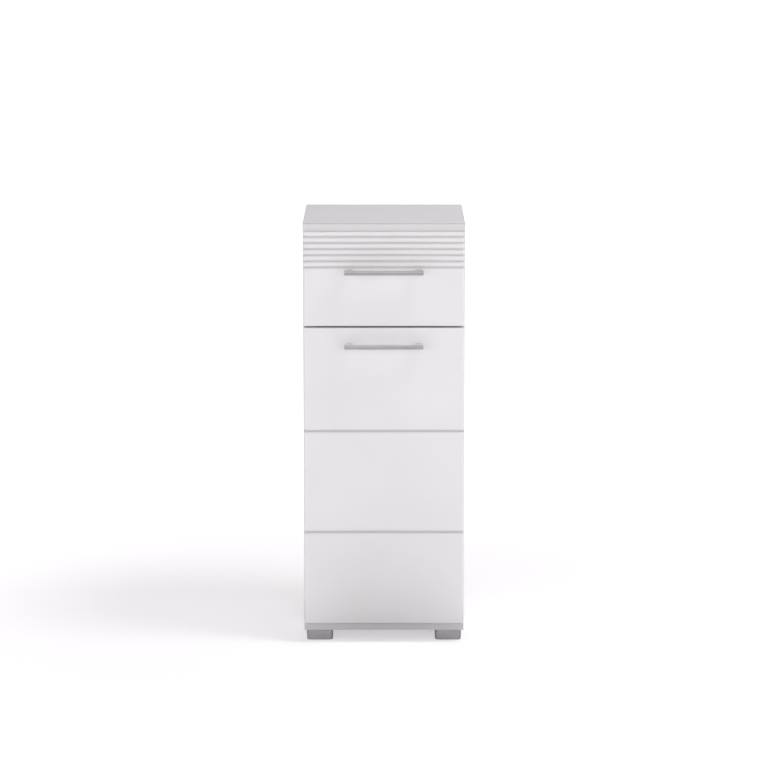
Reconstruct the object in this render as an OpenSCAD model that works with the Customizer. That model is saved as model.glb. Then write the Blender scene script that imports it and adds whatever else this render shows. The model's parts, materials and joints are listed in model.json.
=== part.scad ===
// Narrow free-standing bathroom cabinet: one drawer over one hinged door,
// glossy fronts on a melamine-faced carcass, standing on four block feet.
// Origin: middle of the footprint, on the floor. +X to the right, +Y to the
// back, +Z up. The fronts look along -Y.

/* [Carcass] */
// Outside width of the cabinet
cab_w = 300; // [290:1:400]
// Depth of the carcass with its back panel, without the fronts
cab_d = 289; // [285:1:340]
// Height from the floor to the top surface
cab_h = 794; // [780:1:860]
// Thickness of the carcass boards
board_t = 16; // [16:0.5:18]
// Thickness of the back panel
back_t = 3; // [3:0.5:4]
// Height of the adjustable shelf's underside above the floor
shelf_z = 308; // [276:32:340]

/* [Feet] */
// Height of a foot
foot_h = 20; // [20:1:30]
// Width and depth of a foot
foot_w = 50; // [46:1:54]
// Distance of a foot from the cabinet's side
foot_in = 4; // [3:1:6]

/* [Fronts] */
// Thickness of the drawer front and of the door
front_t = 18; // [18:0.5:19]
// Gap between the fronts and the carcass
front_gap = 3; // [3:0.1:3.5]
// Reveal on each side of a front
reveal = 1; // [0.5:0.5:1.5]
// Height of the drawer front
dfront_h = 175; // [170:1:180]
// Gap between the drawer front and the door
seam = 3.5; // [3:0.5:4]
// Number of ribs' grooves on the drawer front
rib_n = 6; // [4:1:6]
// Pitch of the grooves
rib_pitch = 11.3; // [10.5:0.1:11.5]
// Depth of the grooves
rib_depth = 3; // [2.5:0.1:3.1]
// Depth of the door's grooves
groove_depth = 3; // [2.5:0.1:3.1]
// How far the top board's front edge lies behind the faces of the fronts
top_set = 5; // [4.5:0.5:9]

/* [Handles] */
// Length of a handle
handle_l = 147; // [146:1:156]
// Distance between the centres of a handle's screws
handle_cc = 128; // [126:1:130]
// How far a handle stands out from its front
handle_out = 28; // [26:1:32]
// Height of a handle's bar
handle_bh = 8.5; // [7:0.5:9]
// Thickness of a handle's bar
handle_bt = 8; // [7:0.5:9]

/* [Drawer] */
// Height of the drawer box's sides
box_h = 115; // [105:1:118]
// Thickness of the drawer box's sides and back
box_t = 12; // [12:0.5:13]
// Room for a runner on each side of the drawer box
runner_room = 12.5; // [12.5:0.1:12.6]

/* [Hinges] */
// Height of the lower hinge above the floor
hinge_z1 = 137; // [130:1:150]
// Height of the upper hinge above the floor
hinge_z2 = 500; // [480:1:515]

/* [Hidden] */
$fn = 64;
e = 0.5;
all_d = handle_out + front_t + front_gap + cab_d;
y_bk = all_d/2;                    // back of the cabinet
y_ca = y_bk - cab_d;               // front edges of the carcass
y_fb = y_ca - front_gap;           // back faces of the fronts
y_ff = y_fb - front_t;             // front faces of the fronts
y_hf = y_ff - handle_out;          // front faces of the handles
y_bi = y_bk - back_t;              // inner face of the back panel
x_o = cab_w/2;                     // outer face of the right side
x_i = x_o - board_t;               // inner face of the right side
z_tb = cab_h - board_t;            // underside of the top board
z_df0 = z_tb + 1 - dfront_h;       // lower edge of the drawer front
z_do1 = z_df0 - seam;              // upper edge of the door
z_do0 = foot_h + board_t + 1;      // lower edge of the door
z_dv = z_df0 - 10;                 // underside of the divider
z_rl = z_dv + 32;                  // underside of the runner rails
z_bx = z_rl + 4;                   // underside of the drawer box's sides
x_bo = x_i - runner_room;          // outer face of the right drawer side
x_bi = x_bo - box_t;               // inner face of the right drawer side
y_be = y_ca + 252;                 // back of the drawer box
z_h1 = z_do1 - 32.5;               // middle of the door's handle
z_h0 = z_df0 + 102;                // middle of the drawer's handle
groove_z = [z_do0 + 369, z_do0 + 176.6];
cam_y = [y_ca + 80, y_bi - 80];
dow_y = [y_ca + 25, y_bi - 25];
z_tc = z_tb - 34;                  // cams of the top board
pin_z = shelf_z - 2.5;             // shelf pins
sys_y = [y_ca + 37, y_bi - 37];
foot_x = x_o - foot_in - foot_w/2;
foot_y = [y_ca + 3 + foot_w/2, y_bi - 3 - foot_w/2];
fs_x = x_i - 24;                   // foot screws
nail_x = x_o - board_t/2;
rail_y0 = y_ca + 1;
rail_y1 = y_ca + 251;
fr_y = y_ca + 12;                  // front roller axis
rr_y = rail_y1 - 1.2 - 0.3 - 9.5;  // rear roller axis
fr_z = z_rl + 14.2;
rr_z = z_rl + 11;
hx = -x_o + 9;                     // hinge pin axis
hy = y_ca - 13.5;
cup_x = -x_o + reveal + 3 + 17.5;  // middle of a hinge cup
plate_y = y_ca + 37;
arm_x = cup_x;                     // inner face of a hinge arm's web

white = [0.95, 0.95, 0.94];
silver = [0.68, 0.68, 0.69];
zinc = [0.75, 0.75, 0.77];

// ---------- helpers ----------
module box(a, b) { translate(a) cube(b - a); }
module side(s) { if (s < 0) mirror([1, 0, 0]) children(); else children(); }
module cx(x0, x1, y, z, r) { translate([x0, y, z]) rotate([0, 90, 0]) cylinder(r = r, h = x1 - x0); }
module cy(y0, y1, x, z, r) { translate([x, y0, z]) rotate([-90, 0, 0]) cylinder(r = r, h = y1 - y0); }
module cz(z0, z1, x, y, r) { translate([x, y, z0]) cylinder(r = r, h = z1 - z0); }

// A cam lock about +Z with its open face down at z = 0; the bolt comes
// from +X at height m.
module cam(r, h, m, br) {
  difference() {
    cylinder(r = r, h = h);
    translate([-1, 0, m]) rotate([0, 90, 0]) cylinder(r = br, h = r + 2);
    for (q = [0, 90]) rotate([0, 0, q + 45]) translate([-4.5, -0.6, -e]) cube([9, 1.2, e + 1.6]);
  }
}
// A cam bolt along +X: plug below x = 0, collar, shank and head above it.
module cambolt(plug, reach, r) {
  union() {
    translate([-plug, 0, 0]) rotate([0, 90, 0]) cylinder(r = r, h = plug + 0.01);
    rotate([0, 90, 0]) cylinder(r = r + 0.5, h = 2);
    translate([1.9, 0, 0]) rotate([0, 90, 0]) cylinder(r = r - 0.9, h = reach - 4.3);
    translate([reach - 2.5, 0, 0]) rotate([0, 90, 0]) cylinder(r = r, h = 2.5);
  }
}
// A screw along -Z below its head: the head stands above z = 0.
module screw(r, l, hr, hh) {
  difference() {
    union() {
      translate([0, 0, -l]) cylinder(r = r, h = l + 0.01);
      cylinder(r = hr, h = hh);
    }
    for (q = [0, 90]) rotate([0, 0, q]) translate([-hr*0.55, -0.35, hh - 0.7]) cube([hr*1.1, 0.7, 1]);
  }
}

// ---------- carcass ----------
module side_panel(s) {
  side(s) difference() {
    box([x_i, y_ca, foot_h], [x_o, y_bi, z_tb]);
    for (z = [foot_h + board_t/2, z_dv + 8]) {
      for (y = cam_y) cx(x_i - e, x_i + 11, y, z, 3);
      for (y = dow_y) cx(x_i - e, x_i + 11, y, z, 4);
    }
    for (y = cam_y) {
      cz(z_tc, z_tb + e, x_i + board_t/2, y, 4);
      cx(x_i - e, x_i + 12.5, y, z_tc, 7.5);
    }
    for (y = dow_y) cz(z_tb - 20, z_tb + e, x_i + board_t/2, y, 4);
    for (y = sys_y) for (k = [-3:3]) cx(x_i - e, x_i + 10, y, pin_z + 32*k, 2.5);
    for (y = [y_ca + 37, y_ca + 197]) cx(x_i - e, x_i + 11, y, z_rl + 4.5, 2);
    if (s < 0) for (z = [hinge_z1, hinge_z2]) for (d = [-16, 16])
      cx(x_i - e, x_i + 11, plate_y, z + d, 2.5);
    for (z = [foot_h + 40 : 140 : z_tb - 20]) cy(y_bi - 14, y_bi + e, nail_x, z, 0.8);
  }
}
module side_panel_left() color(white) side_panel(-1);
module side_panel_right() color(white) side_panel(1);

module top_board() color(white) difference() {
  box([-x_o, y_ff + top_set, z_tb], [x_o, y_bk, cab_h]);
  for (s = [-1, 1]) side(s) {
    for (y = cam_y) cz(z_tb - e, z_tb + 11, x_i + board_t/2, y, 3);
    for (y = dow_y) cz(z_tb - e, z_tb + 11, x_i + board_t/2, y, 4);
  }
  for (x = [-12, 12]) cz(z_tb - e, z_tb + 11, x, y_bi - 18, 1.75);
}

// A board between the sides: cams let in from below at both ends.
module level_board(z0) {
  difference() {
    box([-x_i, y_ca, z0], [x_i, y_bi, z0 + board_t]);
    for (s = [-1, 1]) side(s) {
      for (y = cam_y) {
        cx(x_i - 34, x_i + e, y, z0 + 8, 4);
        cz(z0 - e, z0 + 12.5, x_i - 34, y, 7.5);
      }
      for (y = dow_y) cx(x_i - 20, x_i + e, y, z0 + 8, 4);
    }
    for (x = [-80, 80]) cy(y_bi - 14, y_bi + e, x, z0 + 8, 0.8);
  }
}
module bottom_board() color(white) difference() {
  level_board(foot_h);
  for (s = [-1, 1]) side(s) for (y = foot_y) for (d = [-13, 13])
    cz(foot_h - e, foot_h + 11, fs_x, y + d, 1.75);
}
module divider_board() color(white) level_board(z_dv);

module back_panel() color(white) difference() {
  box([-x_o + 1, y_bi, foot_h + 2], [x_o - 1, y_bk, z_tb]);
  // notch in the upper edge, open to the wall bracket's hole and covered by its plate
  box([-28, y_bi - e, z_tb - 34], [28, y_bk + e, z_tb + e]);
  for (s = [-1, 1]) for (z = [foot_h + 40 : 140 : z_tb - 20]) {
    cy(y_bi - e, y_bk + e, s*nail_x, z, 0.8);
    cy(y_bk - 0.5, y_bk + e, s*nail_x, z, 1.7);
  }
  for (z = [foot_h + 8, z_dv + 8]) for (x = [-80, 80]) {
    cy(y_bi - e, y_bk + e, x, z, 0.8);
    cy(y_bk - 0.5, y_bk + e, x, z, 1.7);
  }
}
module nail(x, z) {
  cy(y_bi - 13, y_bk - 0.49, x, z, 0.75);
  cy(y_bk - 0.5, y_bk, x, z, 1.6);
}
module back_panel_nails() color(zinc) {
  for (s = [-1, 1]) for (z = [foot_h + 40 : 140 : z_tb - 20]) nail(s*nail_x, z);
  for (z = [foot_h + 8, z_dv + 8]) for (x = [-80, 80]) nail(x, z);
}

module adjustable_shelf() color(white)
  box([-x_i + 2, y_ca + 12, shelf_z], [x_i - 2, y_bi - 6, shelf_z + board_t]);
module shelf_pins() color(zinc)
  for (s = [-1, 1]) side(s) for (y = sys_y) {
    cx(x_i - 8, x_i + 9.5, y, pin_z, 2.45);
    cx(x_i - 1.5, x_i, y, pin_z, 3.6);
  }

module foot(s, y) {
  side(s) difference() {
    intersection() {
      box([foot_x - foot_w/2, y - foot_w/2, 0], [foot_x + foot_w/2, y + foot_w/2, foot_h]);
      translate([foot_x, y, -e]) cylinder(r = foot_w/2*1.375, h = foot_h + 2*e);
    }
    for (d = [-13, 13]) {
      cz(-e, foot_h + e, fs_x, y + d, 2.1);
      cz(-e, 6, fs_x, y + d, 4.5);
    }
  }
}
module foot_front_left() color(silver) foot(-1, foot_y[0]);
module foot_front_right() color(silver) foot(1, foot_y[0]);
module foot_back_left() color(silver) foot(-1, foot_y[1]);
module foot_back_right() color(silver) foot(1, foot_y[1]);
module foot_screws() color(zinc)
  for (s = [-1, 1]) side(s) for (y = foot_y) for (d = [-13, 13])
    translate([fs_x, y + d, 6]) rotate([180, 0, 0]) screw(1.7, foot_h + 4, 4, 2.6);

module cam_locks() color(zinc) {
  for (s = [-1, 1]) side(s) for (y = cam_y) {
    for (z0 = [foot_h, z_dv]) translate([x_i - 34, y, z0]) cam(7.45, 12.3, 8, 3.6);
    translate([x_i, y, z_tc]) rotate([0, 90, 0]) rotate([0, 0, 180]) cam(7.45, 12.3, 8, 3.6);
  }
}
module cam_bolts() color(zinc) {
  for (s = [-1, 1]) side(s) for (y = cam_y) {
    for (z0 = [foot_h, z_dv]) translate([x_i, y, z0 + 8]) rotate([0, 0, 180]) cambolt(10.8, 33, 2.95);
    translate([x_i + board_t/2, y, z_tb]) rotate([0, 90, 0]) cambolt(10.8, 33, 2.95);
  }
}
module dowels() color([0.85, 0.73, 0.55]) {
  for (s = [-1, 1]) side(s) for (y = dow_y) {
    for (z0 = [foot_h, z_dv]) cx(x_i - 19.5, x_i + 10.5, y, z0 + 8, 3.95);
    cz(z_tb - 19.5, z_tb + 10.5, x_i + board_t/2, y, 3.95);
  }
}

// Angle inside the top at the back, for the screw that ties the cabinet to a wall.
module wall_bracket() color(zinc) difference() {
  union() {
    box([-32, y_bi - 32, z_tb - 2], [32, y_bi, z_tb]);
    box([-32, y_bi - 2, z_tb - 38], [32, y_bi, z_tb - 1]);
  }
  cy(y_bi - 2 - e, y_bi + e, 0, z_tb - 16, 2.75);
  for (x = [-12, 12]) cz(z_tb - 2 - e, z_tb + e, x, y_bi - 18, 2.1);
}
module wall_bracket_screws() color(zinc)
  for (x = [-12, 12]) translate([x, y_bi - 18, z_tb - 2]) rotate([180, 0, 0]) screw(1.7, 12, 3.5, 2);

// ---------- runners ----------
module runner_rail(s) {
  side(s) difference() {
    union() {
      box([x_i - 1.2, rail_y0, z_rl], [x_i, rail_y1, z_rl + 22]);
      box([x_i - 9.5, rail_y0 + 24, z_rl], [x_i - 1, rail_y1, z_rl + 1.2]);
      box([x_i - 9.5, rail_y0 + 24, z_rl + 20.8], [x_i - 1, rail_y1, z_rl + 22]);
      box([x_i - 9.5, rail_y1 - 1.2, z_rl], [x_i - 1, rail_y1, z_rl + 22]);
    }
    for (y = [y_ca + 37, y_ca + 197]) cx(x_i - 1.2 - e, x_i + e, y, z_rl + 4.5, 2);
    cx(x_i - 1.2 - e, x_i + e, fr_y, fr_z, 2);
  }
}
module runner_rail_left() color(white) runner_rail(-1);
module runner_rail_right() color(white) runner_rail(1);
module runner_rail_screws() color(zinc)
  for (s = [-1, 1]) side(s) for (y = [y_ca + 37, y_ca + 197])
    translate([x_i - 1.2, y, z_rl + 4.5]) rotate([0, -90, 0]) screw(1.95, 11.5, 2.8, 0.9);
module front_roller_rivets() color(zinc)
  for (s = [-1, 1]) side(s) {
    cx(x_i - 9, x_i - 1.2, fr_y, fr_z, 2.5);
    cx(x_i - 1.3, x_i, fr_y, fr_z, 1.95);
    cx(x_i - 9.4, x_i - 8.5, fr_y, fr_z, 3.2);
  }
module front_roller(s) side(s) difference() {
  cx(x_i - 8.2, x_i - 1.8, fr_y, fr_z, 8);
  cx(x_i - 9, x_i, fr_y, fr_z, 2.55);
}
module front_roller_left() color(white) front_roller(-1);
module front_roller_right() color(white) front_roller(1);

module drawer_rail(s) {
  side(s) difference() {
    union() {
      box([x_bo, y_ca - 1, z_bx - 1.2], [x_bo + 1.2, rail_y1, z_rl + 23.7]);
      box([x_bo - 9.5, y_ca - 1, z_bx - 1.2], [x_bo + 1, rail_y1, z_bx]);
      box([x_bo + 1, y_ca - 1, z_rl + 22.5], [x_bo + 9.5, rail_y1, z_rl + 23.7]);
    }
    for (y = [y_ca + 30, y_ca + 200]) cx(x_bo - e, x_bo + 1.2 + e, y, z_rl + 12, 2.05);
    cx(x_bo - e, x_bo + 1.2 + e, rr_y, rr_z, 2);
  }
}
module drawer_rail_left() color(white) drawer_rail(-1);
module drawer_rail_right() color(white) drawer_rail(1);
module drawer_rail_screws() color(zinc)
  for (s = [-1, 1]) side(s) for (y = [y_ca + 30, y_ca + 200])
    translate([x_bo + 1.2, y, z_rl + 12]) rotate([0, 90, 0]) screw(1.95, 10.5, 3, 1.1);
module rear_roller_rivets() color(zinc)
  for (s = [-1, 1]) side(s) {
    cx(x_bo + 1.2, x_bo + 10.6, rr_y, rr_z, 2.5);
    cx(x_bo + 0.1, x_bo + 1.3, rr_y, rr_z, 1.95);
    cx(x_bo + 10.2, x_bo + 10.9, rr_y, rr_z, 3);
  }
module rear_roller(s) side(s) difference() {
  cx(x_bo + 3.8, x_bo + 10, rr_y, rr_z, 9.5);
  cx(x_bo + 3, x_bo + 11, rr_y, rr_z, 2.55);
}
module rear_roller_left() color(white) rear_roller(-1);
module rear_roller_right() color(white) rear_roller(1);

// ---------- drawer ----------
// A round-bottomed groove across a front at height z.
module groove(z, w, d) {
  r = (w*w/4 + d*d)/(2*d);
  cx(-x_o, x_o, y_ff + d - r, z, r);
}
module drawer_front() color(white) difference() {
  box([-x_o + reveal, y_ff, z_df0], [x_o - reveal, y_fb, z_df0 + dfront_h]);
  for (k = [0 : rib_n - 1]) groove(z_df0 + dfront_h - 9 - k*rib_pitch, 6, rib_depth);
  // rebate along the top: the lip in front hides the gap under the top board
  box([-x_o, y_ff + top_set - 1, z_tb - 1], [x_o, y_fb + e, z_tb + 1 + e]);
  box([-x_bi - 5, y_fb - 5, z_bx + 10], [x_bi + 5, y_fb + e, z_bx + 13]);
  for (s = [-1, 1]) {
    cy(y_ff - e, y_fb + e, s*handle_cc/2, z_h0, 2.25);
    for (z = [z_bx + 32, z_bx + box_h - 25]) cy(y_fb - 11, y_fb + e, s*(x_bo - box_t/2), z, 3);
  }
}
module drawer_side(s) {
  side(s) difference() {
    box([x_bi, y_fb, z_bx], [x_bo, y_be, z_bx + box_h]);
    box([x_bi - e, y_fb - e, z_bx + 10], [x_bi + 5, y_be + e, z_bx + 13]);
    for (z = [z_bx + 32, z_bx + box_h - 25]) {
      cy(y_fb - e, y_fb + 34, x_bo - box_t/2, z, 3.6);
      cx(x_bi - e, x_bi + 9.9, y_fb + 34, z, 6);
      cx(x_bi - e, x_bo + e, y_be - box_t/2, z, 2.05);
      cx(x_bo - 1.6, x_bo + e, y_be - box_t/2, z, 3.6);
    }
    for (y = [y_ca + 30, y_ca + 200]) cx(x_bo - 9.5, x_bo + e, y, z_rl + 12, 2);
  }
}
module drawer_side_left() color(white) drawer_side(-1);
module drawer_side_right() color(white) drawer_side(1);
module drawer_back() color(white) difference() {
  box([-x_bi, y_be - box_t, z_bx + 13], [x_bi, y_be, z_bx + box_h]);
  for (s = [-1, 1]) side(s) for (z = [z_bx + 32, z_bx + box_h - 25])
    cx(x_bi - 24, x_bi + e, y_be - box_t/2, z, 1.75);
}
module drawer_bottom() color(white)
  box([-x_bi - 4.8, y_fb - 4.8, z_bx + 10], [x_bi + 4.8, y_be, z_bx + 13]);
module drawer_cam_locks() color(zinc)
  for (s = [-1, 1]) side(s) for (z = [z_bx + 32, z_bx + box_h - 25])
    translate([x_bi, y_fb + 34, z]) rotate([-90, 0, 0]) rotate([0, 90, 0]) cam(5.95, 9.7, box_t/2, 3.3);
module drawer_cam_bolts() color(zinc)
  for (s = [-1, 1]) side(s) for (z = [z_bx + 32, z_bx + box_h - 25])
    translate([x_bo - box_t/2, y_fb, z]) rotate([0, 0, 90]) cambolt(10.8, 33.5, 2.95);
module drawer_back_screws() color(zinc)
  for (s = [-1, 1]) side(s) for (z = [z_bx + 32, z_bx + box_h - 25])
    translate([x_bo - 1.6, y_be - box_t/2, z]) rotate([0, 90, 0]) screw(1.7, 32, 3.5, 1.5);

// ---------- handles ----------
module handle(z) {
  a = handle_l/2;
  b = handle_cc/2;
  difference() {
    translate([0, 0, z - handle_bh/2]) linear_extrude(height = handle_bh)
      polygon([
        [-a + 1, y_hf], [a - 1, y_hf], [a, y_hf + 1], [a, y_hf + handle_bt - 4],
        [b + 6, y_ff], [b - 6, y_ff], [a - 10, y_hf + handle_bt],
        [-a + 10, y_hf + handle_bt], [-b + 6, y_ff], [-b - 6, y_ff],
        [-a, y_hf + handle_bt - 4], [-a, y_hf + 1]
      ]);
    for (s = [-1, 1]) cy(y_ff - 8.3, y_ff + e, s*b, z, 2.05);
  }
}
module handle_screws(z)
  for (s = [-1, 1]) translate([s*handle_cc/2, y_fb, z]) rotate([-90, 0, 0]) screw(2, front_t + 8, 4, 2.4);
module drawer_handle() color(silver) handle(z_h0);
module drawer_handle_screws() color(zinc) handle_screws(z_h0);
module door_handle() color(silver) handle(z_h1);
module door_handle_screws() color(zinc) handle_screws(z_h1);

// ---------- door and hinges ----------
module door_panel() color(white) difference() {
  box([-x_o + reveal, y_ff, z_do0], [x_o - reveal, y_fb, z_do1]);
  for (z = groove_z) groove(z, 6, groove_depth);
  // back edge on the hinge side is eased, so that it clears the side as the door turns
  translate([-x_o + reveal, y_fb, z_do0 - e]) rotate([0, 0, 45]) translate([-1.4, -1.4, 0]) cube([2.8, 2.8, z_do1 - z_do0 + 2*e]);
  for (z = [hinge_z1, hinge_z2]) {
    cy(y_fb - 14.4, y_fb + e, cup_x, z, 17.5);
    for (d = [-24, 24]) cy(y_fb - 11, y_fb + e, cup_x + 6, z + d, 1.75);
  }
  for (s = [-1, 1]) cy(y_ff - e, y_fb + e, s*handle_cc/2, z_h1, 2.25);
}
// Pressed cup let into the door, with a flange for two screws.
module hinge_cup(z) color(zinc) difference() {
  union() {
    cy(y_fb - 14.3, y_fb + 0.1, cup_x, z, 17.45);
    intersection() {
      union() {
        cy(y_fb, y_fb + 1.2, cup_x, z, 19.5);
        box([cup_x - 1, y_fb, z - 24], [cup_x + 13, y_fb + 1.2, z + 24]);
        for (d = [-24, 24]) cy(y_fb, y_fb + 1.2, cup_x + 6, z + d, 6.5);
      }
      box([cup_x - 17, y_fb - e, z - 40], [cup_x + 30, y_fb + 2, z + 40]);
    }
  }
  difference() {
    cy(y_fb - 13.5, y_fb + 2, cup_x, z, 16.5);
    // two ears left standing in the cup hold the ends of the pin
    for (d = [-12.4, 6.4]) box([hx - 4, y_fb - 14, z + d], [hx + 2.6, hy + 2.6, z + d + 6]);
  }
  for (d = [-24, 24]) cy(y_fb - e, y_fb + 2, cup_x + 6, z + d, 2);
  cz(z - 9.6, z + 9.6, hx, hy, 1.52);
}
module hinge_cup_upper() hinge_cup(hinge_z2);
module hinge_cup_lower() hinge_cup(hinge_z1);
module hinge_pins() color(zinc) for (z = [hinge_z1, hinge_z2]) cz(z - 9.5, z + 9.5, hx, hy, 1.5);
module hinge_cup_screws() color(zinc)
  for (z = [hinge_z1, hinge_z2]) for (d = [-24, 24])
    translate([cup_x + 6, y_fb + 1.2, z + d]) rotate([-90, 0, 0]) screw(1.7, 12, 3.4, 1.3);
// Arm: barrel round the pin, a leg inside the cup, and a channel over the plate.
module hinge_arm(z) color(zinc) difference() {
  union() {
    cz(z - 6, z + 6, hx, hy, 2.6);
    box([hx, hy - 1.5, z - 6], [arm_x + 3, hy + 1.5, z + 6]);
    box([arm_x, hy - 1.5, z - 6], [arm_x + 3, plate_y + 25, z + 6]);
    for (d = [-6, 4.8]) box([-x_i + 2.6, plate_y - 27, z + d], [arm_x + 0.1, plate_y + 25, z + d + 1.2]);
  }
  cz(z - 7, z + 7, hx, hy, 1.55);
  cx(arm_x - e, arm_x + 3 + e, plate_y + 10, z, 2.2);
}
module hinge_arm_upper() hinge_arm(hinge_z2);
module hinge_arm_lower() hinge_arm(hinge_z1);
module hinge_plate(z) color(zinc) difference() {
  union() {
    box([-x_i, plate_y - 17, z - 4.7], [arm_x, plate_y + 19, z + 4.7]);
    box([-x_i, plate_y - 7, z - 22], [-x_i + 2.4, plate_y + 7, z + 22]);
  }
  for (d = [-16, 16]) cx(-x_i - e, -x_i + 2.4 + e, plate_y, z + d, 2.6);
  cx(-x_i + 0.6, arm_x + e, plate_y + 10, z, 2.05);
}
module hinge_plate_upper() hinge_plate(hinge_z2);
module hinge_plate_lower() hinge_plate(hinge_z1);
module hinge_plate_screws() color(zinc)
  for (z = [hinge_z1, hinge_z2]) for (d = [-16, 16])
    translate([-x_i + 2.4, plate_y, z + d]) rotate([0, 90, 0]) screw(2.45, 12.5, 4.2, 1.4);
module hinge_arm_screws() color(zinc)
  for (z = [hinge_z1, hinge_z2])
    translate([arm_x + 3, plate_y + 10, z]) rotate([0, 90, 0]) screw(2, 7, 3.6, 1.6);

module door_bumper_pads() color([0.9, 0.9, 0.9])
  for (z = [z_do0 + 25, z_do1 - 25]) cy(y_fb, y_fb + 2.7, x_o - board_t/2, z, 4.5);

// ---------- choice of what is drawn ----------
side_panel_left();
side_panel_right();
top_board();
bottom_board();
divider_board();
back_panel();
adjustable_shelf();
shelf_pins();
foot_front_left();
foot_front_right();
foot_back_left();
foot_back_right();
foot_screws();
cam_locks();
cam_bolts();
dowels();
back_panel_nails();
wall_bracket();
wall_bracket_screws();
runner_rail_left();
runner_rail_right();
runner_rail_screws();
front_roller_rivets();
hinge_plate_upper();
hinge_plate_lower();
hinge_plate_screws();
hinge_arm_upper();
hinge_arm_lower();
hinge_arm_screws();
drawer_front();
drawer_side_left();
drawer_side_right();
drawer_back();
drawer_bottom();
drawer_rail_left();
drawer_rail_right();
drawer_rail_screws();
rear_roller_rivets();
drawer_handle();
drawer_handle_screws();
drawer_cam_locks();
drawer_cam_bolts();
drawer_back_screws();
front_roller_left();
front_roller_right();
rear_roller_left();
rear_roller_right();
door_panel();
door_handle();
door_handle_screws();
hinge_cup_upper();
hinge_cup_lower();
hinge_pins();
hinge_cup_screws();
door_bumper_pads();
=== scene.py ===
"""Narrow bathroom cabinet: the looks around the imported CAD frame. Metres, +Z up, fronts along -Y."""
import json
import math

import bmesh
import bpy
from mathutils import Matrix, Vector

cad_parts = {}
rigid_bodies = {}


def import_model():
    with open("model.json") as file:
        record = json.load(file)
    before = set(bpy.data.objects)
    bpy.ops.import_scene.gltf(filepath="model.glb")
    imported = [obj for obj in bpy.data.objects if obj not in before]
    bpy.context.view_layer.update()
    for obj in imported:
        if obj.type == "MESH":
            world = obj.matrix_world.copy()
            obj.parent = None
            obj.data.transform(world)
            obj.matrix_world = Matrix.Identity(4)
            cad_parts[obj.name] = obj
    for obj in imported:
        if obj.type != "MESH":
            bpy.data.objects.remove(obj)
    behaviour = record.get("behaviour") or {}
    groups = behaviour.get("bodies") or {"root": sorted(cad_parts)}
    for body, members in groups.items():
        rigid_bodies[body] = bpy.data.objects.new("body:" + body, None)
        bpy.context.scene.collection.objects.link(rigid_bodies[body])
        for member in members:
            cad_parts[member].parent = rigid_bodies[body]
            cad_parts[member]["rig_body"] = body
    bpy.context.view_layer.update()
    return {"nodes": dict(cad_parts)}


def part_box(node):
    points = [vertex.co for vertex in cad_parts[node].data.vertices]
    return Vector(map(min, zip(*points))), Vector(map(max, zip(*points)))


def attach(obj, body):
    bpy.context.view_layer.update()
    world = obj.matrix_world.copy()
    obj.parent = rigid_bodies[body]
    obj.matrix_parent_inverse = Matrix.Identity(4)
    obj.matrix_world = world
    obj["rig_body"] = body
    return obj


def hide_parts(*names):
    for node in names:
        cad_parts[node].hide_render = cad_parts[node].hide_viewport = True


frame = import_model()
MM = 0.001
BODY_OF = {n: o["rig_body"] for n, o in frame["nodes"].items()}

# the cabinet's own measures, in millimetres, as in the CAD source
Y_BK, Y_CA, Y_FB, Y_FF, Y_HF, Y_BI = 169.0, -120.0, -123.0, -141.0, -169.0, 166.0
X_O, X_I = 150.0, 134.0
TOP_SET = 5.0                                # the top board's front edge, behind the faces of the fronts
Z_TB, Z_TOP = 778.0, 794.0
DRAWER_Z = (604.0, 779.0)
DOOR_Z = (37.0, 600.5)
FRONT_X = 149.0
HANDLE_Z = {"drawer": 706.0, "door": 568.0}
GROOVE_Z = (406.0, 213.6)
RIB_TOP, RIB_PITCH, RIB_N, RIB_DEPTH = 770.0, 11.3, 6, 3.0
GROOVE_HALF, GROOVE_DEPTH = 6.0, 3.2
CUP_X, HINGE_Z = -128.5, (137.0, 500.0)


# ------------------------------------------------------------------ materials
def new_material(name):
    mat = bpy.data.materials.new(name)
    mat.use_nodes = True
    nt = mat.node_tree
    nt.nodes.clear()
    out = nt.nodes.new("ShaderNodeOutputMaterial")
    bsdf = nt.nodes.new("ShaderNodeBsdfPrincipled")
    nt.links.new(bsdf.outputs["BSDF"], out.inputs["Surface"])
    return mat, nt, bsdf


def place(nt, scale=(1, 1, 1)):
    """Object coordinates in metres, stretched by scale."""
    co = nt.nodes.new("ShaderNodeTexCoord")
    mp = nt.nodes.new("ShaderNodeMapping")
    mp.inputs["Scale"].default_value = scale
    nt.links.new(co.outputs["Object"], mp.inputs["Vector"])
    return mp.outputs["Vector"]


def noise(nt, vec, scale, detail=2.0, rough=0.5, distortion=0.0):
    n = nt.nodes.new("ShaderNodeTexNoise")
    n.inputs["Scale"].default_value = scale
    n.inputs["Detail"].default_value = detail
    n.inputs["Roughness"].default_value = rough
    n.inputs["Distortion"].default_value = distortion
    nt.links.new(vec, n.inputs["Vector"])
    return n.outputs["Fac"]


def ramp(nt, fac, stops):
    r = nt.nodes.new("ShaderNodeValToRGB")
    els = r.color_ramp.elements
    while len(els) < len(stops):
        els.new(0.5)
    for el, (pos, col) in zip(els, stops):
        el.position = pos
        el.color = (*col, 1.0) if len(col) == 3 else col
    nt.links.new(fac, r.inputs["Fac"])
    return r.outputs["Color"]


def remap(nt, fac, lo, hi, a=0.3, b=0.7):
    m = nt.nodes.new("ShaderNodeMapRange")
    m.inputs["From Min"].default_value = a
    m.inputs["From Max"].default_value = b
    m.inputs["To Min"].default_value = lo
    m.inputs["To Max"].default_value = hi
    nt.links.new(fac, m.inputs["Value"])
    return m.outputs["Result"]


def add(nt, a, b, gain=1.0):
    m = nt.nodes.new("ShaderNodeMath")
    m.operation = "MULTIPLY_ADD"
    nt.links.new(b, m.inputs[0])
    m.inputs[1].default_value = gain
    nt.links.new(a, m.inputs[2])
    return m.outputs[0]


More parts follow.
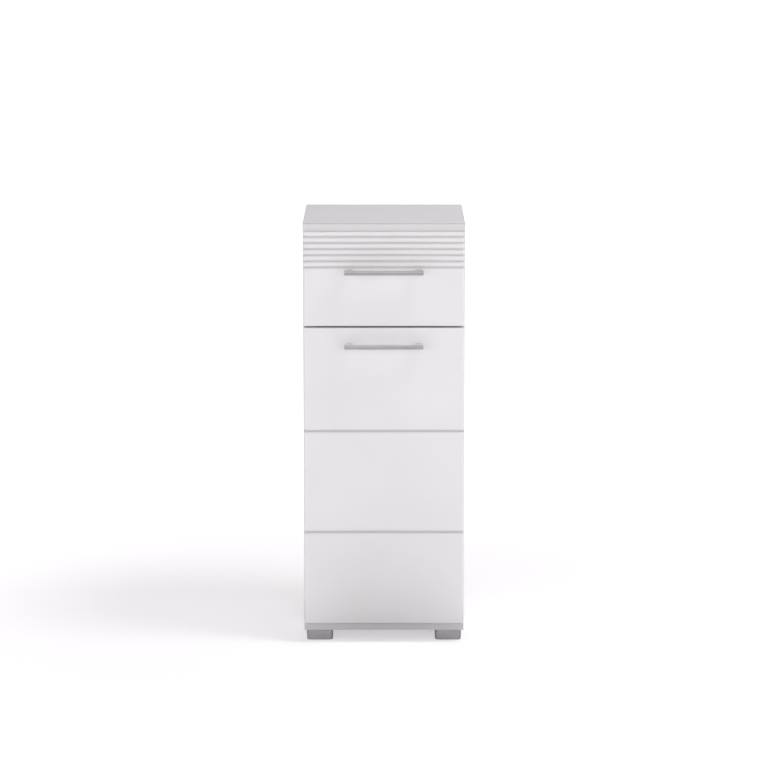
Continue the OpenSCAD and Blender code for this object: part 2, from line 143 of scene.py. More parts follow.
def bump(nt, bsdf, height, distance, strength=1.0):
    b = nt.nodes.new("ShaderNodeBump")
    b.inputs["Strength"].default_value = strength
    b.inputs["Distance"].default_value = distance
    nt.links.new(height, b.inputs["Height"])
    nt.links.new(b.outputs["Normal"], bsdf.inputs["Normal"])


# painted shade: the share of the lacquer's colour left in the deepest grooves
GROOVE_SHADE_TONE = 0.72


def lacquer():
    """White lacquered foil over milled fibreboard: soft gloss, a trace of orange peel."""
    mat, nt, bsdf = new_material("front_lacquer_white")
    vec = place(nt)
    cloud = noise(nt, vec, 7.0, 3.0)
    peel = noise(nt, vec, 240.0, 2.0)
    fine = noise(nt, vec, 1500.0, 1.0)
    white = ramp(nt, cloud, [(0.3, (0.792, 0.788, 0.786)), (0.7, (0.818, 0.815, 0.812))])
    # painted shade: the lacquer's colour is darkened down in the milled grooves, by the groove depth carried on the
    # mesh
    groove_shade_weight = nt.nodes.new("ShaderNodeAttribute")
    groove_shade_weight.attribute_type = "GEOMETRY"
    groove_shade_weight.attribute_name = "groove"
    groove_shaded_colour = nt.nodes.new("ShaderNodeMixRGB")
    groove_shaded_colour.blend_type = "MULTIPLY"
    groove_shaded_colour.inputs["Color2"].default_value = (GROOVE_SHADE_TONE, GROOVE_SHADE_TONE * 0.995, GROOVE_SHADE_TONE * 0.995, 1.0)
    nt.links.new(groove_shade_weight.outputs["Fac"], groove_shaded_colour.inputs["Fac"])
    nt.links.new(white, groove_shaded_colour.inputs["Color1"])
    nt.links.new(groove_shaded_colour.outputs["Color"], bsdf.inputs["Base Color"])
    nt.links.new(remap(nt, cloud, 0.27, 0.34), bsdf.inputs["Roughness"])
    bsdf.inputs["IOR"].default_value = 1.5
    bsdf.inputs["Coat Weight"].default_value = 0.35
    bsdf.inputs["Coat Roughness"].default_value = 0.12
    bump(nt, bsdf, add(nt, peel, fine, 0.12), 0.00002, 0.35)
    return mat


def melamine(name="melamine_white", tint=(0.80, 0.797, 0.792), rough=(0.40, 0.52)):
    """White melamine facing: even colour, a fine pearl grain."""
    mat, nt, bsdf = new_material(name)
    vec = place(nt)
    cloud = noise(nt, vec, 9.0, 3.0)
    pearl = noise(nt, vec, 900.0, 2.0)
    lo = tuple(c * 0.982 for c in tint)
    hi = tuple(min(1.0, c * 1.012) for c in tint)
    nt.links.new(ramp(nt, cloud, [(0.3, lo), (0.7, hi)]), bsdf.inputs["Base Color"])
    nt.links.new(remap(nt, pearl, rough[0], rough[1]), bsdf.inputs["Roughness"])
    bsdf.inputs["IOR"].default_value = 1.45
    bump(nt, bsdf, pearl, 0.00003, 0.5)
    return mat


def edge_band(name="edge_band_white", tone=1.0):
    """Plastic edge band: the same white, smoother, with faint drawn lines along the board."""
    mat, nt, bsdf = new_material(name)
    lines = noise(nt, place(nt, (12, 500, 500)), 1.0, 2.0)
    lo, hi = (tuple(c * tone for c in col) for col in ((0.785, 0.782, 0.778), (0.80, 0.797, 0.793)))
    nt.links.new(ramp(nt, lines, [(0.3, lo), (0.7, hi)]), bsdf.inputs["Base Color"])
    nt.links.new(remap(nt, lines, 0.30, 0.42), bsdf.inputs["Roughness"])
    bump(nt, bsdf, lines, 0.00003, 0.3)
    return mat


def chipboard():
    """Raw particleboard, seen in the drilled holes."""
    mat, nt, bsdf = new_material("particleboard_core")
    vec = place(nt)
    chips = nt.nodes.new("ShaderNodeTexVoronoi")
    chips.inputs["Scale"].default_value = 700.0
    nt.links.new(vec, chips.inputs["Vector"])
    fine = noise(nt, vec, 1800.0, 3.0)
    mix = add(nt, chips.outputs["Distance"], fine, 0.6)
    nt.links.new(ramp(nt, mix, [(0.2, (0.26, 0.17, 0.09)), (0.6, (0.50, 0.36, 0.21)), (1.0, (0.66, 0.51, 0.33))]), bsdf.inputs["Base Color"])
    nt.links.new(remap(nt, fine, 0.75, 0.95), bsdf.inputs["Roughness"])
    bump(nt, bsdf, mix, 0.0003, 0.8)
    return mat


def hardboard():
    """Bare wood-fibre board: brown, felted short fibres, a faint screen pattern."""
    mat, nt, bsdf = new_material("hardboard_bare")
    cloud = noise(nt, place(nt), 22.0, 5.0, 0.6)
    fibre = noise(nt, place(nt, (1.0, 1.0, 0.25)), 1400.0, 4.0, 0.65, 0.8)
    mix = add(nt, cloud, fibre, 0.55)
    nt.links.new(ramp(nt, mix, [(0.5, (0.20, 0.125, 0.070)), (0.78, (0.30, 0.195, 0.115)), (1.05, (0.41, 0.285, 0.175))]), bsdf.inputs["Base Color"])
    nt.links.new(remap(nt, fibre, 0.55, 0.8), bsdf.inputs["Roughness"])
    bump(nt, bsdf, fibre, 0.00012, 0.6)
    return mat


def satin_metal(name, base, rough, stretch, grain=0.00001, metallic=1.0):
    """Drawn or brushed metal: hair lines along the long direction."""
    mat, nt, bsdf = new_material(name)
    hair = noise(nt, place(nt, stretch), 1.0, 3.0, 0.6)
    cloud = noise(nt, place(nt), 30.0, 2.0)
    lo = tuple(c * 0.93 for c in base)
    hi = tuple(min(1.0, c * 1.05) for c in base)
    nt.links.new(ramp(nt, add(nt, cloud, hair, 0.5), [(0.5, lo), (1.0, hi)]), bsdf.inputs["Base Color"])
    nt.links.new(remap(nt, hair, rough[0], rough[1]), bsdf.inputs["Roughness"])
    bsdf.inputs["Metallic"].default_value = metallic
    bump(nt, bsdf, hair, grain, 0.6)
    return mat


def zinc(name="zinc_plated_steel", base=(0.60, 0.61, 0.64), rough=(0.22, 0.40)):
    """Zinc-plated steel: cloudy passivation with a trace of blue and straw."""
    mat, nt, bsdf = new_material(name)
    vec = place(nt)
    cloud = noise(nt, vec, 160.0, 4.0, 0.6, 0.4)
    spangle = noise(nt, vec, 900.0, 2.0)
    cool = (base[0] * 0.90, base[1] * 0.94, base[2])
    warm = (base[0] * 1.08, base[1] * 1.05, base[2] * 0.96)
    nt.links.new(ramp(nt, cloud, [(0.35, cool), (0.65, warm)]), bsdf.inputs["Base Color"])
    nt.links.new(remap(nt, spangle, rough[0], rough[1]), bsdf.inputs["Roughness"])
    bsdf.inputs["Metallic"].default_value = 1.0
    bump(nt, bsdf, spangle, 0.00002, 0.4)
    return mat


def cast_metal():
    """Die-cast zinc: dull, with a sandy skin."""
    mat, nt, bsdf = new_material("cast_zinc_dull")
    vec = place(nt)
    sand = noise(nt, vec, 2200.0, 3.0)
    cloud = noise(nt, vec, 120.0, 3.0)
    nt.links.new(ramp(nt, cloud, [(0.3, (0.42, 0.42, 0.44)), (0.7, (0.52, 0.52, 0.54))]), bsdf.inputs["Base Color"])
    nt.links.new(remap(nt, sand, 0.42, 0.62), bsdf.inputs["Roughness"])
    bsdf.inputs["Metallic"].default_value = 0.95
    bump(nt, bsdf, sand, 0.00005, 0.7)
    return mat


def silver_plastic():
    """Silver-grey moulded plastic with a fine metallic fleck."""
    mat, nt, bsdf = new_material("foot_plastic_silver")
    vec = place(nt)
    fleck = noise(nt, vec, 3200.0, 1.0)
    cloud = noise(nt, vec, 40.0, 3.0)
    mix = add(nt, cloud, fleck, 0.5)
    nt.links.new(ramp(nt, mix, [(0.5, (0.50, 0.497, 0.505)), (1.0, (0.62, 0.617, 0.625))]), bsdf.inputs["Base Color"])
    nt.links.new(remap(nt, fleck, 0.34, 0.50), bsdf.inputs["Roughness"])
    bsdf.inputs["Metallic"].default_value = 0.25
    bump(nt, bsdf, fleck, 0.00003, 0.5)
    return mat


def powder_coat():
    """White powder-coated steel: even colour, visible orange peel."""
    mat, nt, bsdf = new_material("powder_coat_white")
    vec = place(nt)
    peel = noise(nt, vec, 550.0, 2.0)
    cloud = noise(nt, vec, 20.0, 3.0)
    nt.links.new(ramp(nt, cloud, [(0.3, (0.77, 0.77, 0.76)), (0.7, (0.81, 0.81, 0.80))]), bsdf.inputs["Base Color"])
    nt.links.new(remap(nt, peel, 0.26, 0.38), bsdf.inputs["Roughness"])
    bump(nt, bsdf, peel, 0.00006, 0.6)
    return mat


def nylon():
    """Natural white nylon: waxy, slightly warm."""
    mat, nt, bsdf = new_material("nylon_natural")
    vec = place(nt)
    cloud = noise(nt, vec, 180.0, 3.0)
    nt.links.new(ramp(nt, cloud, [(0.3, (0.76, 0.75, 0.70)), (0.7, (0.83, 0.82, 0.78))]), bsdf.inputs["Base Color"])
    nt.links.new(remap(nt, cloud, 0.30, 0.42), bsdf.inputs["Roughness"])
    bsdf.inputs["Subsurface Weight"].default_value = 0.15
    bsdf.inputs["Subsurface Radius"].default_value = (0.002, 0.002, 0.0015)
    bump(nt, bsdf, cloud, 0.00003, 0.4)
    return mat


def beech():
    """Fluted beech dowel: straight grain with short dark rays."""
    mat, nt, bsdf = new_material("beech_raw")
    grain = noise(nt, place(nt, (60, 900, 900)), 1.0, 4.0, 0.6)
    rays = noise(nt, place(nt, (400, 2500, 2500)), 1.0, 1.0)
    mix = add(nt, grain, rays, 0.35)
    nt.links.new(ramp(nt, mix, [(0.45, (0.42, 0.27, 0.14)), (0.7, (0.62, 0.44, 0.26)), (0.95, (0.74, 0.57, 0.38))]), bsdf.inputs["Base Color"])
    nt.links.new(remap(nt, grain, 0.55, 0.75), bsdf.inputs["Roughness"])
    bump(nt, bsdf, mix, 0.0001, 0.5)
    return mat


def rubber():
    """Milky silicone pads."""
    mat, nt, bsdf = new_material("silicone_milky")
    vec = place(nt)
    cloud = noise(nt, vec, 300.0, 2.0)
    nt.links.new(ramp(nt, cloud, [(0.3, (0.72, 0.73, 0.73)), (0.7, (0.80, 0.81, 0.81))]), bsdf.inputs["Base Color"])
    nt.links.new(remap(nt, cloud, 0.28, 0.40), bsdf.inputs["Roughness"])
    bsdf.inputs["Transmission Weight"].default_value = 0.35
    bsdf.inputs["IOR"].default_value = 1.41
    bump(nt, bsdf, cloud, 0.00003, 0.3)
    return mat


M = {
    "lacquer": lacquer(),
    "melamine": melamine(),
    "coated": melamine("hardboard_white_face", (0.77, 0.765, 0.755), (0.45, 0.6)),
    "band": edge_band("edge_band_white", 0.95),
    "top_band": edge_band("edge_band_top", 0.87),
    # darker band colour for the top board's rounded upper arris: painted shade
    "arris_shade": edge_band("edge_band_arris", 0.52),
    "chip": chipboard(),
    "hardboard": hardboard(),
    "handle": satin_metal("handle_satin_chrome", (0.82, 0.815, 0.82), (0.20, 0.27), (8, 900, 900)),
    "zinc": zinc(),
    "screw": zinc("screw_bright_zinc", (0.66, 0.66, 0.67), (0.18, 0.32)),
    "cast": cast_metal(),
    "foot": silver_plastic(),
    "powder": powder_coat(),
    "nylon": nylon(),
    "beech": beech(),
    "rubber": rubber(),
}


# ------------------------------------------------------------------ mesh helpers
def to_object(name, bm, mats, smooth_angle=35.0, weighted=True, flat_over=None):
    """flat_over: faces with more corners than this, such as the ends of a profile, are shaded flat."""
    me = bpy.data.meshes.new(name)
    bm.normal_update()
    bm.to_mesh(me)
    bm.free()
    for m in mats:
        me.materials.append(m)
    me.shade_smooth()
    me.set_sharp_from_angle(angle=math.radians(smooth_angle))
    if flat_over:
        for face in me.polygons:
            if len(face.vertices) > flat_over:
                face.use_smooth = False
                for i in face.loop_indices:
                    me.edges[me.loops[i].edge_index].use_edge_sharp = True
    obj = bpy.data.objects.new(name, me)
    bpy.context.scene.collection.objects.link(obj)
    if weighted:
        mod = obj.modifiers.new("face_weighted_normals", "WEIGHTED_NORMAL")
        mod.keep_sharp = True
        mod.weight = 60
    return obj


def on_body(obj, node):
    """The piece stands for the CAD node and rides on the node's body."""
    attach(obj, BODY_OF[node])
    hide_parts(node)
    return obj


def cad_bmesh(node):
    bm = bmesh.new()
    bm.from_mesh(frame["nodes"][node].data)
    bmesh.ops.remove_doubles(bm, verts=bm.verts, dist=2e-6)
    bmesh.ops.dissolve_limit(bm, angle_limit=math.radians(0.6), verts=bm.verts, edges=bm.edges)
    bmesh.ops.recalc_face_normals(bm, faces=bm.faces)
    return bm


def box_edges(bm, tol=3e-6):
    """The straight edges that lie on two faces of the mesh's own box: a board's outer arrises."""
    co = [v.co for v in bm.verts]
    lo = Vector((min(c[i] for c in co) for i in range(3)))
    hi = Vector((max(c[i] for c in co) for i in range(3)))

    def planes(v):
        s = set()
        for i in range(3):
            if abs(v.co[i] - lo[i]) < tol:
                s.add((i, 0))
            if abs(v.co[i] - hi[i]) < tol:
                s.add((i, 1))
        return s

    found = []
    for e in bm.edges:
        if len(planes(e.verts[0]) & planes(e.verts[1])) >= 2 and len(e.link_faces) == 2:
            if e.link_faces[0].normal.angle(e.link_faces[1].normal, 0) > 0.5:
                found.append(e)
    return found, lo, hi


def board(node, r=0.5, faces=("melamine", "band", "chip"), band_dirs=((0, -1, 0),), name=None, painted_arris_shade=False):
    """A melamine board: its CAD shape with eased arrises, edge bands, and raw board in the holes.
    The last flag darkens the rounded arris between the top face and the edge bands: painted shade."""
    bm = cad_bmesh(node)
    edges, lo, hi = box_edges(bm)
    bmesh.ops.bevel(bm, geom=edges, offset=r * MM, offset_type="OFFSET", segments=3, profile=0.5, affect="EDGES", clamp_overlap=False)
    bm.normal_update()
    dirs = [Vector(d) for d in band_dirs]
    for f in bm.faces:
        c = f.calc_center_median()
        depth = min(min(c[i] - lo[i], hi[i] - c[i]) for i in range(3))
        if depth > (r + 0.02) * MM:
            f.material_index = 2
        # painted shade: the rounded arris along the top's upper edges gets the darker band colour
        elif painted_arris_shade and f.normal.z > 0.25 and f.normal.z < 0.97:
            f.material_index = 3
        elif any(f.normal.dot(d) > 0.6 for d in dirs):
            f.material_index = 1
        else:
            f.material_index = 0
    obj = to_object(name or node + "_finished", bm, [M[k] for k in faces])
    return on_body(obj, node)


def soften(node, mats, r=0.25, min_angle=40.0, name=None, classify=None, smooth_angle=35.0):
    """A piece of hardware: its CAD shape with every arris rounded."""
    bm = cad_bmesh(node)
    before = abs(bm.calc_volume())
    edges = [
        e for e in bm.edges
        if len(e.link_faces) == 2 and e.link_faces[0].normal.angle(e.link_faces[1].normal, 0) > math.radians(min_angle)
    ]
    trial = bm.copy()
    index = {e.index for e in edges}
    trial.edges.ensure_lookup_table()
    picked = [trial.edges[i] for i in index]
    bmesh.ops.bevel(trial, geom=picked, offset=r * MM, offset_type="OFFSET", segments=2, profile=0.5, affect="EDGES", clamp_overlap=True)
    after = abs(trial.calc_volume())
    if before > 0 and abs(after - before) / before < 0.06:
        bm.free()
        bm = trial
    else:
        print("soften: kept sharp", node, before, after)
        trial.free()
    bm.normal_update()
    if classify:
        for f in bm.faces:
            f.material_index = classify(f)
    obj = to_object(name or node + "_finished", bm, [M[k] for k in mats], smooth_angle=smooth_angle)
    return on_body(obj, node)


def cut_cylinders(bm, cuts):
    """Takes cylinders (centre, axis, radius, length) out of the bmesh with an exact boolean, and returns a new bmesh."""
    me = bpy.data.meshes.new("cut_base")
    bm.to_mesh(me)
    bm.free()
    base = bpy.data.objects.new("cut_base", me)
    bpy.context.scene.collection.objects.link(base)
    tool = bmesh.new()
    for centre, axis, radius, length in cuts:
        rot = Vector((0, 0, 1)).rotation_difference(Vector(axis)).to_matrix().to_4x4()
        rot.translation = Vector(centre)
        bmesh.ops.create_cone(tool, cap_ends=True, segments=48, radius1=radius, radius2=radius, depth=length, matrix=rot)
    tm = bpy.data.meshes.new("cut_tool")
    tool.to_mesh(tm)
    tool.free()
    cutter = bpy.data.objects.new("cut_tool", tm)
    bpy.context.scene.collection.objects.link(cutter)
    mod = base.modifiers.new("cut", "BOOLEAN")
    mod.operation = "DIFFERENCE"
    mod.solver = "EXACT"
    mod.object = cutter
    bpy.context.view_layer.update()
    dg = bpy.context.evaluated_depsgraph_get()
    out = bmesh.new()
    out.from_mesh(base.evaluated_get(dg).to_mesh())
    base.evaluated_get(dg).to_mesh_clear()
    bpy.data.objects.remove(base)
    bpy.data.objects.remove(cutter)
    bpy.data.meshes.remove(me)
    bpy.data.meshes.remove(tm)
    return out


# ------------------------------------------------------------------ the fronts
def round_back(d, r):
    """How far a rounded edge of radius r lies behind the flat, at distance d in from the edge."""
    return 0.0 if d >= r else r - math.sqrt(max(0.0, r * r - (r - d) ** 2))


def front_bmesh(z0, z1, recess, zs, r_side=3.2, r_end=2.6, back_ease=0.8, rebate=None):
    """A milled front: the profile recess(z) runs across the whole width, its four edges are rounded.
    rebate (y, z) leaves a lip in front of y above z, along the upper edge."""
    arc = 6
    # (z, recess) of the front line, from the bottom up
    ring = [(z0 + r_end * (1 - math.cos(math.pi / 2 * k / arc)), r_end * (1 - math.sin(math.pi / 2 * k / arc))) for k in range(arc)]
    for z in zs:
        if z0 + r_end - 1e-6 <= z <= z1 - r_end + 1e-6:
            ring.append((z, recess(z)))
    ring += [(z1 - r_end * (1 - math.cos(math.pi / 2 * k / arc)), r_end * (1 - math.sin(math.pi / 2 * k / arc))) for k in range(arc - 1, -1, -1)]
    stations = []                              # (x, extra recess)
    for k in range(arc + 1):
        a = math.pi / 2 * k / arc
        stations.append((FRONT_X - r_side * (1 - math.cos(a)), r_side * (1 - math.sin(a))))
    half = stations[:] + [(100.0, 0.0), (50.0, 0.0)]
    xs = [(-x, e) for x, e in half] + [(0.0, 0.0)] + [(x, e) for x, e in reversed(half)]
    b = back_ease
    bm = bmesh.new()
    # painted shade: each corner carries how dark the lacquer is painted there, from the depth of the groove
    groove_shade_weight = bm.loops.layers.float.new("groove")
    groove_shade_at = {}
    rows = []
    for i, (x, extra) in enumerate(xs):
        pts = [(Y_FB - b, z0)]
        for k, (z, rec) in enumerate(ring):
            ended = k < arc or k >= len(ring) - arc        # on the round along the upper or lower edge
            pts.append((Y_FF + (max(rec, extra) + 0.3 * min(rec, extra) if ended else rec + extra), z))
        if rebate:
            y_r, z_r = rebate
            pts += [(y_r - 0.4, z1), (y_r, z1 - 0.4), (y_r, z_r + 0.3), (y_r + 0.3, z_r), (Y_FB - b, z_r), (Y_FB, z_r - b)]
        else:
            pts += [(Y_FB - b, z1), (Y_FB, z1 - b)]
        pts.append((Y_FB, z0 + b))
        rows.append([bm.verts.new((x * MM, y * MM, z * MM)) for y, z in pts])
        for v, (y, z) in zip(rows[-1], pts):
            # painted shade: darker the deeper the recess, none on the rounded ends or the back
            groove_shade_at[v] = min(1.0, recess(z) / 3.0) ** 0.75 if z0 + 3 < z < z1 - 2 and y < Y_FB - 8 else 0.0
    n = len(rows[0])
    for a, c in zip(rows[:-1], rows[1:]):
        for j in range(n):
            k = (j + 1) % n
            strip = bm.faces.new((a[j], c[j], c[k], a[k]))
            for corner in strip.loops:
                corner[groove_shade_weight] = groove_shade_at[corner.vert]
    # the ends carry no painted groove shade
    bm.faces.new(list(reversed(rows[0])))          # the ends keep groove = 0
    bm.faces.new(rows[-1])
    bmesh.ops.recalc_face_normals(bm, faces=bm.faces)
    return bm


def valley(d, half, depth):
    """Recess at distance d from the middle of a milled valley, between two convex lips that begin half away."""
    if d >= half:
        return 0.0
    radius = (half * half + depth * depth) / (2 * depth)
    off = half - d
    value = radius - math.sqrt(max(0.0, radius * radius - off * off))
    # the cutter leaves a little round at the bottom
    soft = depth - 0.5
    return value if value < soft else soft + (value - soft) * 0.55


def bead_recess(z):
    """Reeded field of the drawer front: convex beads between narrow valleys, then the plain field."""
    return max(valley(abs(z - (RIB_TOP - k * RIB_PITCH)), RIB_PITCH / 2, RIB_DEPTH) for k in range(RIB_N))


def groove_recess(z):
    """Two grooves across the door, with the same rounded lips as the beads."""
    return max(valley(abs(z - g), GROOVE_HALF, GROOVE_DEPTH) for g in GROOVE_Z)


def line(a, b, step):
    n = max(1, int(round((b - a) / step)))
    return [a + (b - a) * k / n for k in range(n + 1)]


def drawer_front():
    z0, z1 = DRAWER_Z
    low = RIB_TOP - (RIB_N - 1) * RIB_PITCH - RIB_PITCH / 2
    zs = line(z0 + 1.5, low, 12.0)[:-1] + line(low, z1 - 1.5, 0.4)
    bm = front_bmesh(z0, z1, bead_recess, zs, r_side=2.8, r_end=1.5, rebate=(Y_FF + TOP_SET - 1.0, Z_TB - 1.0))
    obj = to_object("drawer_front_reeded", bm, [M["lacquer"]], 38.0, flat_over=24)
    on_body(obj, "drawer_front")
    return obj


def door_panel():
    z0, z1 = DOOR_Z
    zs = [z0 + 2.6]
    for g in sorted(GROOVE_Z):
        zs += line(zs[-1], g - 6.4, 12.0)[1:-1] + line(g - 6.4, g + 6.4, 0.4)
    zs += line(zs[-1], z1 - 2.6, 12.0)[1:]
    bm = front_bmesh(z0, z1, groove_recess, zs)
    cuts = []
    for z in HINGE_Z:
        cuts.append(((CUP_X * MM, (Y_FB - 14.4 / 2 + 1.0) * MM, z * MM), (0, 1, 0), 17.5 * MM, (14.4 + 2.0) * MM))
    bm = cut_cylinders(bm, cuts)
    bm.normal_update()
    for f in bm.faces:
        c = f.calc_center_median()
        inside = any(math.hypot(c.x / MM - CUP_X, c.z / MM - z) < 17.6 for z in HINGE_Z)
        f.material_index = 1 if inside and (Y_FB - 14.5) * MM < c.y < (Y_FB - 0.2) * MM else 0
    obj = to_object("door_panel_grooved", bm, [M["lacquer"], M["chip"]], 38.0, flat_over=24)
    on_body(obj, "door_panel")
    return obj


drawer_front()
door_panel()


# ------------------------------------------------------------------ handles
CROWN = 0.5                                  # how far the bar's front is arched


def handle(node, z, name):
    """A bow handle: a slim bar with rounded edges, carried by two legs that lean inwards to the front."""
    a, b = 73.5, 64.0
    hb, ht = 8.5, 8.0
    outline = [
        (-a + 1.0, Y_HF), (a - 1.0, Y_HF), (a, Y_HF + 1.0), (a, Y_HF + ht - 4.0),
        (b + 6.0, Y_FF + 0.5), (b - 6.0, Y_FF + 0.5), (a - 10.0, Y_HF + ht),
        (-a + 10.0, Y_HF + ht), (-b + 6.0, Y_FF + 0.5), (-b - 6.0, Y_FF + 0.5),
        (-a, Y_HF + ht - 4.0), (-a, Y_HF + 1.0),
    ]
    bm = bmesh.new()
    levels = []
    for k in range(9):
        t = -1 + k / 4                          # the front of the bar is crowned
        levels.append([bm.verts.new((x * MM, (y + (CROWN * t * t if y < Y_HF + 2 else 0.0)) * MM, (z + t * hb / 2) * MM)) for x, y in outline])
    n = len(outline)
    for low, high in zip(levels[:-1], levels[1:]):
        for i in range(n):
            j = (i + 1) % n
            bm.faces.new((low[i], low[j], high[j], high[i]))
    bm.faces.new(list(reversed(levels[0])))
    bm.faces.new(levels[-1])
    bmesh.ops.recalc_face_normals(bm, faces=bm.faces)
    # fillets where the legs meet the bar, seen from above
    upright = [e for e in bm.edges if abs(e.verts[0].co.z - e.verts[1].co.z) > 1e-4]
    inner = [e for e in upright if abs(abs(e.verts[0].co.x) / MM - (a - 10.0)) < 0.1]
    outer = [e for e in upright if abs(abs(e.verts[0].co.x) / MM - a) < 0.1 and e.verts[0].co.y / MM > Y_HF + 2]
    bmesh.ops.bevel(bm, geom=inner + outer, offset=3.0 * MM, offset_type="OFFSET", segments=5, profile=0.5, affect="EDGES")
    # long arrises rounded
    rim = [
        e for e in bm.edges
        if len(e.link_faces) == 2 and e.link_faces[0].normal.angle(e.link_faces[1].normal, 0) > math.radians(60)
        and not (abs(e.verts[0].co.y / MM - Y_FF) < 0.7 and abs(e.verts[1].co.y / MM - Y_FF) < 0.7)
        and abs(e.verts[0].co.z - e.verts[1].co.z) < 1e-5
    ]
    bmesh.ops.bevel(bm, geom=rim, offset=0.8 * MM, offset_type="OFFSET", segments=4, profile=0.5, affect="EDGES")
    obj = to_object(name, bm, [M["handle"]], 40.0)
    return on_body(obj, node)


handle("drawer_handle", HANDLE_Z["drawer"], "drawer_bow_handle")
handle("door_handle", HANDLE_Z["door"], "door_bow_handle")


# ------------------------------------------------------------------ carcass and drawer boards
# the top board's upper arris is painted darker: painted shade
board("top_board", 0.9, faces=("melamine", "top_band", "chip", "arris_shade"), band_dirs=((0, -1, 0), (1, 0, 0), (-1, 0, 0)), painted_arris_shade=True)
for side in ("left", "right"):
    board("side_panel_" + side, 0.5)
board("bottom_board", 0.5)
board("divider_board", 0.5)
board("adjustable_shelf", 0.6)
for side in ("left", "right"):
    board("drawer_side_" + side, 0.6, band_dirs=((0, 0, 1),))
board("drawer_back", 0.6, band_dirs=((0, 0, 1),))


def two_faced(node, white_dir, name):
    """Thin fibreboard: white on the face towards white_dir, bare on the other face and the edges."""
    d = Vector(white_dir)
    bm = cad_bmesh(node)
    edges, lo, hi = box_edges(bm)
    bmesh.ops.bevel(bm, geom=edges, offset=0.25 * MM, offset_type="OFFSET", segments=2, profile=0.5, affect="EDGES", clamp_overlap=False)
    bm.normal_update()
    for f in bm.faces:
        f.material_index = 0 if f.normal.dot(d) > 0.9 else 1
    obj = to_object(name, bm, [M["coated"], M["hardboard"]])
    return on_body(obj, node)


two_faced("back_panel", (0, -1, 0), "back_panel_hardboard")
two_faced("drawer_bottom", (0, 0, 1), "drawer_bottom_hardboard")


# ------------------------------------------------------------------ feet
def foot(node, name):
    """A moulded block foot: soft corners, sides that taper a little to the floor, a step at the top."""
    lo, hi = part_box(node)
    cx, cy = (lo.x + hi.x) / 2, (lo.y + hi.y) / 2
    half, top = (hi.x - lo.x) / 2, hi.z
    levels = [
        (0.0, 1.9), (0.25, 1.25), (0.9, 0.95), (1.6, 0.9),           # (height, inset) up the side
        (2.0, 0.7), (16.2, 0.15), (16.8, 0.7), (17.4, 0.75), (17.9, 0.1), (18.6, 0.0), (19.4, 0.0), (20.0, 0.35),
    ]
    corner, seg = 7.0, 8
    bm = bmesh.new()
    rows = []
    for h, inset in levels:
        w = half / MM - inset
        r = corner - inset * 0.5
        pts = []
        for q in range(4):
            sx, sy = [(1, 1), (-1, 1), (-1, -1), (1, -1)][q]
            for k in range(seg + 1):
                ang = math.pi / 2 * (q + k / seg)
                pts.append((sx * (w - r) + r * math.cos(ang), sy * (w - r) + r * math.sin(ang)))
        rows.append([bm.verts.new((cx + x * MM, cy + y * MM, h / 20.0 * top)) for x, y in pts])
    n = len(rows[0])
    for a, c in zip(rows[:-1], rows[1:]):
        for j in range(n):
            k = (j + 1) % n
            bm.faces.new((a[j], a[k], c[k], c[j]))
    bm.faces.new(list(reversed(rows[0])))
    bm.faces.new(rows[-1])
    bmesh.ops.recalc_face_normals(bm, faces=bm.faces)
    sx = 1 if cx > 0 else -1
    cuts = []
    for d in (-13.0, 13.0):
        c = (sx * 110.0 * MM, cy + d * MM)
        cuts.append(((c[0], c[1], 2.5 * MM), (0, 0, 1), 4.5 * MM, 7.0 * MM))
    bm = cut_cylinders(bm, cuts)
    obj = to_object(name, bm, [M["foot"]], 32.0)
    return on_body(obj, node)


for corner_name in ("front_left", "front_right", "back_left", "back_right"):
    foot("foot_" + corner_name, "foot_" + corner_name + "_moulded")


# ------------------------------------------------------------------ hardware
for where in ("upper", "lower"):
    soften("hinge_arm_" + where, ["zinc"], 0.3)
    soften("hinge_plate_" + where, ["zinc"], 0.4)
    soften("hinge_cup_" + where, ["zinc"], 0.25)
for side in ("left", "right"):
    soften("runner_rail_" + side, ["powder"], 0.25)
    soften("drawer_rail_" + side, ["powder"], 0.25)
    soften("front_roller_" + side, ["nylon"], 0.5)
    soften("rear_roller_" + side, ["nylon"], 0.5)
soften("wall_bracket", ["zinc"], 0.3)
soften("door_bumper_pads", ["rubber"], 0.8)
soften("cam_locks", ["cast"], 0.25)
soften("drawer_cam_locks", ["cast"], 0.25)
for screws in ("foot_screws", "wall_bracket_screws", "runner_rail_screws", "hinge_plate_screws", "hinge_arm_screws",
               "drawer_rail_screws", "drawer_handle_screws", "drawer_back_screws", "door_handle_screws", "hinge_cup_screws"):
    soften(screws, ["screw"], 0.18)

KEPT = {"shelf_pins": "screw", "cam_bolts": "screw", "dowels": "beech", "back_panel_nails": "screw",
        "front_roller_rivets": "zinc", "rear_roller_rivets": "zinc", "drawer_cam_bolts": "screw", "hinge_pins": "screw"}
for node, key in KEPT.items():
    obj = frame["nodes"][node]
    obj.data.materials.clear()
    obj.data.materials.append(M[key])


# ------------------------------------------------------------------ floor, light, camera
TINT = (1.0, 0.972, 1.004)


def math_node(nt, op, a, b=None, clamp=False):
    m = nt.nodes.new("ShaderNodeMath")
    m.operation = op
    m.use_clamp = clamp
    for i, v in enumerate((a, b)):
        if v is None:
            continue
        if isinstance(v, (int, float)):
            m.inputs[i].default_value = v
        else:
            nt.links.new(v, m.inputs[i])
    return m.outputs[0]


def smooth_range(nt, value, a, b, lo, hi):
    m = nt.nodes.new("ShaderNodeMapRange")
    m.interpolation_type = "SMOOTHSTEP"
    for key, v in (("From Min", a), ("From Max", b), ("To Min", lo), ("To Max", hi)):
        m.inputs[key].default_value = v
    nt.links.new(value, m.inputs["Value"])
    return m.outputs["Result"]


